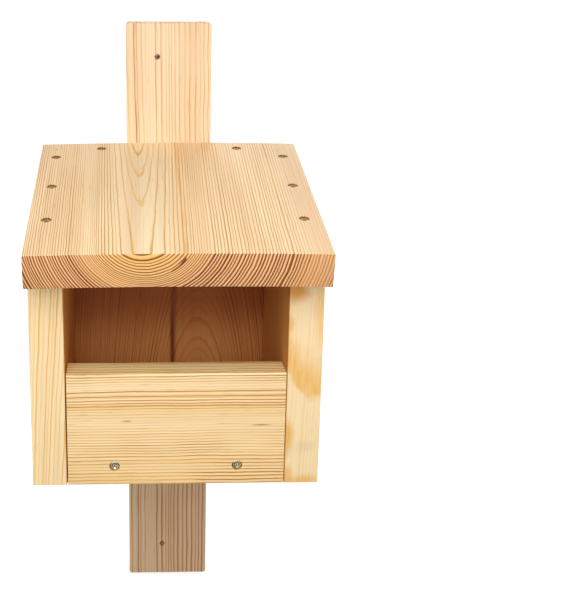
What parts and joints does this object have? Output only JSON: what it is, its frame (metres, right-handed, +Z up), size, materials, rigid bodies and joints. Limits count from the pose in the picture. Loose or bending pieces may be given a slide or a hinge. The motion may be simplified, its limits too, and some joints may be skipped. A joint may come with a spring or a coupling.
{
  "type": "nest box",
  "caption": "Half-open wooden nest box with a sloping roof board and a low front board, screwed to an upright mounting batten.",
  "frame": {"origin": "middle of the batten's back face, which rests on the wall, post or trunk", "axes": "+Z up along the batten, +Y out of the batten's back, +X to the right as seen from the open front"},
  "size_m": [0.168, 0.1846, 0.4],
  "materials": {
    "wall_wood": "planed, untreated softwood",
    "back_wood": "planed, untreated softwood",
    "floor_wood": "planed, untreated softwood",
    "front_wood": "planed, untreated softwood",
    "roof_wood": "planed, untreated softwood",
    "batten_wood": "planed, untreated softwood",
    "screw_steel": "zinc plated"
  },
  "bodies": {
    "root": {"left_wall": "wall_wood", "right_wall": "wall_wood", "back_wall": "back_wood", "floor_board": "floor_wood", "front_board": "front_wood", "roof_board": "roof_wood", "batten": "batten_wood", "roof_screw_left_rear": "screw_steel", "roof_screw_left_mid": "screw_steel", "roof_screw_left_fore": "screw_steel", "roof_screw_right_rear": "screw_steel", "roof_screw_right_mid": "screw_steel", "roof_screw_right_fore": "screw_steel", "roof_screw_back_left": "screw_steel", "roof_screw_back_right": "screw_steel", "front_screw_left": "screw_steel", "front_screw_right": "screw_steel", "left_screw_wall_low": "screw_steel", "left_screw_wall_high": "screw_steel", "left_screw_floor_rear": "screw_steel", "left_screw_floor_fore": "screw_steel", "right_screw_wall_low": "screw_steel", "right_screw_wall_high": "screw_steel", "right_screw_floor_rear": "screw_steel", "right_screw_floor_fore": "screw_steel", "batten_screw_low": "screw_steel", "batten_screw_high": "screw_steel"}
  },
  "joints": []
}
